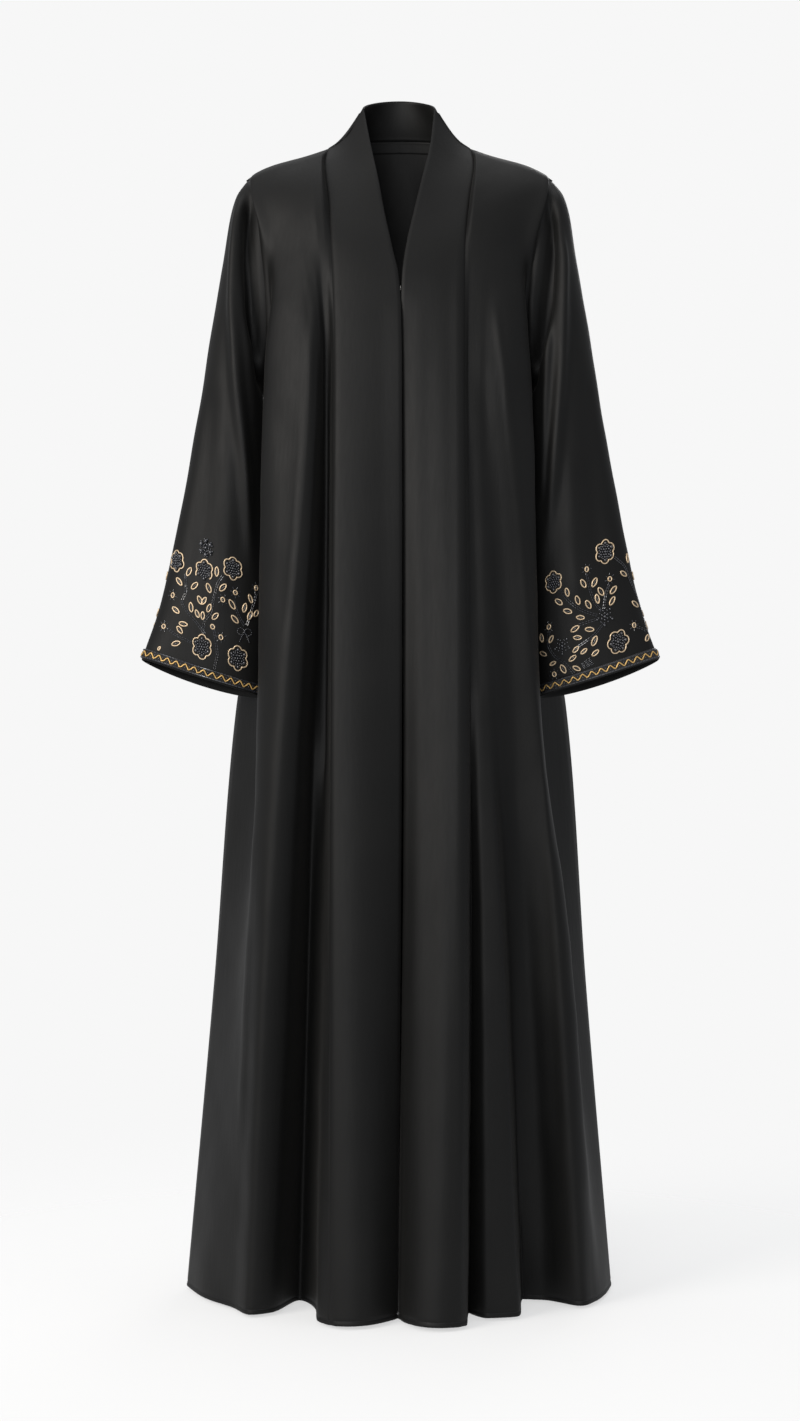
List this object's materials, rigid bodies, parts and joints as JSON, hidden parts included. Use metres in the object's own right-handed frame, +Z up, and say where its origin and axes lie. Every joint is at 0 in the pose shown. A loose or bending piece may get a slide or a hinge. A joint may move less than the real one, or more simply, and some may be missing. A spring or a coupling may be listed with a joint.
{
  "type": "abaya cloak",
  "caption": "Full-length open-front abaya cloak with a standing collar band, flared sleeves with beaded cuff borders and a hook closing.",
  "frame": {"origin": "midway between the two shoulder seams, at half their height: where a wearer's shoulders hold the garment", "axes": "+Z up, -Y towards the front of the garment, +X to the wearer's left"},
  "size_m": [0.6254, 0.4161, 1.4619],
  "materials": {
    "black_crepe": "soft matt black crepe with a slight satin sheen",
    "beaded_border": "black bugle beads and gold cord on braid",
    "steel_wire": "nickel-plated wire"
  },
  "bodies": {
    "root": {"back": "black_crepe", "front_right": "black_crepe", "front_left": "black_crepe", "front_band": "black_crepe", "sleeve_right": "black_crepe", "sleeve_left": "black_crepe", "cuff_border_right": "beaded_border", "cuff_border_left": "beaded_border", "hook": "steel_wire", "eye": "steel_wire"}
  },
  "joints": []
}
